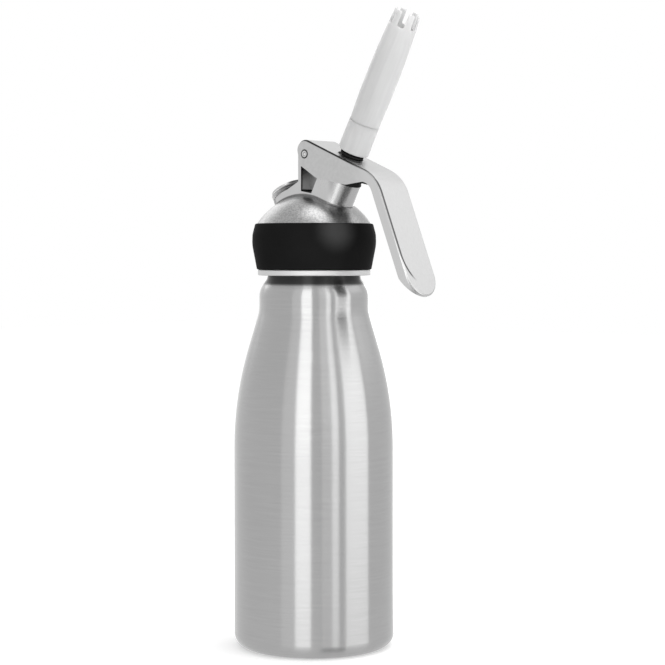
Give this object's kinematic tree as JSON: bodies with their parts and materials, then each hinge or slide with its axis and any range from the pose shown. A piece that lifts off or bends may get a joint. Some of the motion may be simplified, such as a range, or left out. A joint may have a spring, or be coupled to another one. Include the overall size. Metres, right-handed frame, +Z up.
{
  "type": "whipped cream dispenser",
  "caption": "Steel whipped cream dispenser: bottle with a screw-on satin head, squeeze lever, sprung valve, gas charger port and slanted white decorator tip.",
  "frame": {"origin": "centre of the bottle's base ring, in the plane it stands on", "axes": "+Z up the bottle's axis; +X towards the lever's handle and the lean of the tip; the charger port leans to -X; XZ is the plane of symmetry"},
  "size_m": [0.1094, 0.079, 0.3097],
  "materials": {
    "bottle_steel": "fine vertical satin brushing",
    "head_steel": "bead blasted satin",
    "lever_steel": "satin polished sheet",
    "inner_steel": "turned",
    "spring_steel": "drawn wire",
    "valve_brass": "turned",
    "black_silicone": "matte",
    "seal_rubber": "matte",
    "black_plastic": "moulded",
    "white_bearing_plastic": "moulded",
    "tip_plastic": "translucent off-white, moulded"
  },
  "bodies": {
    "bottle": {"bottle_shell": "bottle_steel"},
    "gasket": {"head_gasket": "seal_rubber"},
    "head": {"head_casting": "head_steel", "grip_band": "black_silicone", "charger_port_sleeve": "inner_steel", "piercing_pin": "inner_steel", "charger_seal": "seal_rubber", "inlet_valve_body": "valve_brass", "inlet_valve_sleeve": "seal_rubber", "valve_seat_ring": "white_bearing_plastic", "valve_guide": "white_bearing_plastic", "guide_o_ring": "seal_rubber", "gland_cap": "black_plastic", "lever_pin": "inner_steel"},
    "lever": {"lever": "lever_steel"},
    "valve": {"valve_stem": "inner_steel", "stem_seal": "seal_rubber", "seal_retainer": "inner_steel", "return_spring": "spring_steel", "pressure_collar": "inner_steel", "nozzle_adapter": "black_plastic"},
    "tip_seal": {"tip_washer": "seal_rubber"},
    "tip": {"tip_collar": "tip_plastic", "decorator_tip": "tip_plastic"}
  },
  "joints": [
    {"name": "head_lift", "type": "slide", "parent": "bottle", "child": "gasket", "axis": [0, 0, 1], "range_m": [0, 0.009]},
    {"name": "head_turn", "type": "hinge", "parent": "gasket", "child": "head", "pos_m": [0, 0, 0.19], "axis": [0, 0, 1], "range_deg": [0, 810]},
    {"name": "lever_press", "type": "hinge", "parent": "head", "child": "lever", "pos_m": [0.0032, 0, 0.242], "axis": [0, 1, 0], "range_deg": [0, 7.5], "stiffness_Nm_per_rad": 1.5, "springref_deg": -5.73},
    {"name": "valve_stroke", "type": "slide", "parent": "head", "child": "valve", "axis": [-0.4617, 0, -0.887], "range_m": [0, 0.00248], "deforming": ["return_spring"]},
    {"name": "tip_lift", "type": "slide", "parent": "valve", "child": "tip_seal", "axis": [0.4617, 0, 0.887], "range_m": [0, 0.007]},
    {"name": "tip_turn", "type": "hinge", "parent": "tip_seal", "child": "tip", "pos_m": [0.02771, 0, 0.24802], "axis": [0.4617, 0, 0.887], "range_deg": [0, 1680]}
  ],
  "couplings": [
    {"joint": "head_turn", "follows": "head_lift", "rad_per_m": 1570.8},
    {"joint": "lever_press", "follows": "valve_stroke", "rad_per_m": 52.754},
    {"joint": "tip_turn", "follows": "tip_lift", "rad_per_m": 4188.8}
  ]
}
